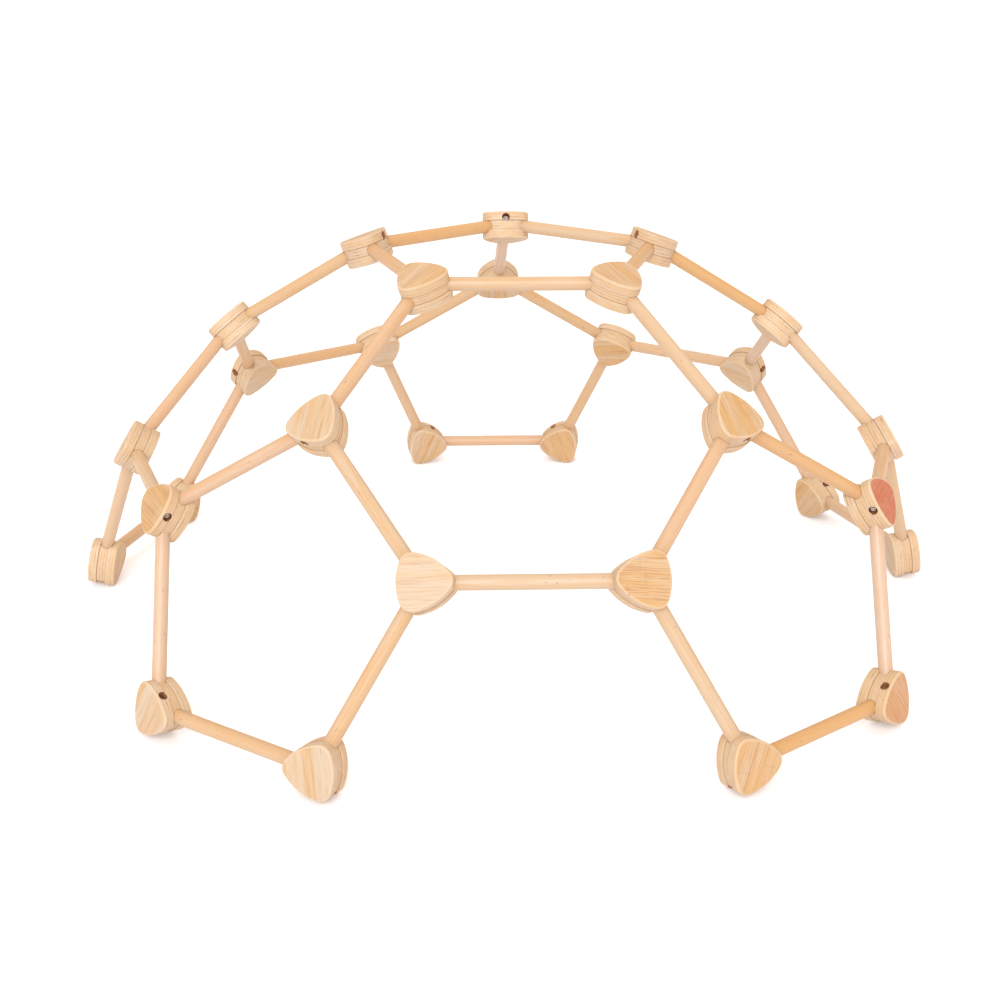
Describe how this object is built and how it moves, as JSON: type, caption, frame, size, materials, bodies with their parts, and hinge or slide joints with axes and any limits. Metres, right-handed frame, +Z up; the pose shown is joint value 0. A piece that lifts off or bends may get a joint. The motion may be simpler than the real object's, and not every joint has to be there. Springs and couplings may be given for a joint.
{
  "type": "climbing dome",
  "caption": "Low wooden climbing dome for small children: round rods meet in rounded three-cornered hub blocks, glued into pentagon frames that bolt together over open hexagons.",
  "frame": {"origin": "middle of the footprint's box, on the floor that the ten foot hubs stand on", "axes": "+Z up; +X to the right of somebody who faces the front; +Y towards the back, where the back frame stands; the dome's five-fold axis is parallel to Z and 21.5 mm in front of the origin"},
  "size_m": [1.5094, 1.4462, 0.6447],
  "materials": {
    "hub_bamboo": "sanded and clear-oiled, laminated bamboo board",
    "rod_beech": "smooth sanded hardwood dowel, clear satin coat",
    "bolt_steel": "zinc-plated",
    "insert_brass": "machined"
  },
  "bodies": {
    "root": {"hub_top_back": "hub_bamboo", "hub_top_left": "hub_bamboo", "hub_top_front_left": "hub_bamboo", "hub_top_front_right": "hub_bamboo", "hub_top_right": "hub_bamboo", "hub_back_peak": "hub_bamboo", "hub_back_shoulder_left": "hub_bamboo", "hub_back_shoulder_right": "hub_bamboo", "hub_back_foot_left": "hub_bamboo", "hub_back_foot_right": "hub_bamboo", "hub_left_peak": "hub_bamboo", "hub_left_shoulder_left": "hub_bamboo", "hub_left_shoulder_right": "hub_bamboo", "hub_left_foot_left": "hub_bamboo", "hub_left_foot_right": "hub_bamboo", "hub_front_left_peak": "hub_bamboo", "hub_front_left_shoulder_left": "hub_bamboo", "hub_front_left_shoulder_right": "hub_bamboo", "hub_front_left_foot_left": "hub_bamboo", "hub_front_left_foot_right": "hub_bamboo", "hub_front_right_peak": "hub_bamboo", "hub_front_right_shoulder_left": "hub_bamboo", "hub_front_right_shoulder_right": "hub_bamboo", "hub_front_right_foot_left": "hub_bamboo", "hub_front_right_foot_right": "hub_bamboo", "hub_right_peak": "hub_bamboo", "hub_right_shoulder_left": "hub_bamboo", "hub_right_shoulder_right": "hub_bamboo", "hub_right_foot_left": "hub_bamboo", "hub_right_foot_right": "hub_bamboo", "rods_top_frame": "rod_beech", "rods_back_frame": "rod_beech", "rods_left_frame": "rod_beech", "rods_front_left_frame": "rod_beech", "rods_front_right_frame": "rod_beech", "rods_right_frame": "rod_beech", "link_top_to_back": "rod_beech", "link_top_to_left": "rod_beech", "link_top_to_front_left": "rod_beech", "link_top_to_front_right": "rod_beech", "link_top_to_right": "rod_beech", "link_back_to_left": "rod_beech", "link_left_to_front_left": "rod_beech", "link_front_left_to_front_right": "rod_beech", "link_front_right_to_right": "rod_beech", "link_right_to_back": "rod_beech", "bolts_top_hubs": "bolt_steel", "bolts_peak_hubs": "bolt_steel", "bolts_shoulder_hubs": "bolt_steel", "inserts_top_hubs": "insert_brass", "inserts_peak_hubs": "insert_brass", "inserts_shoulder_hubs": "insert_brass"}
  },
  "joints": []
}
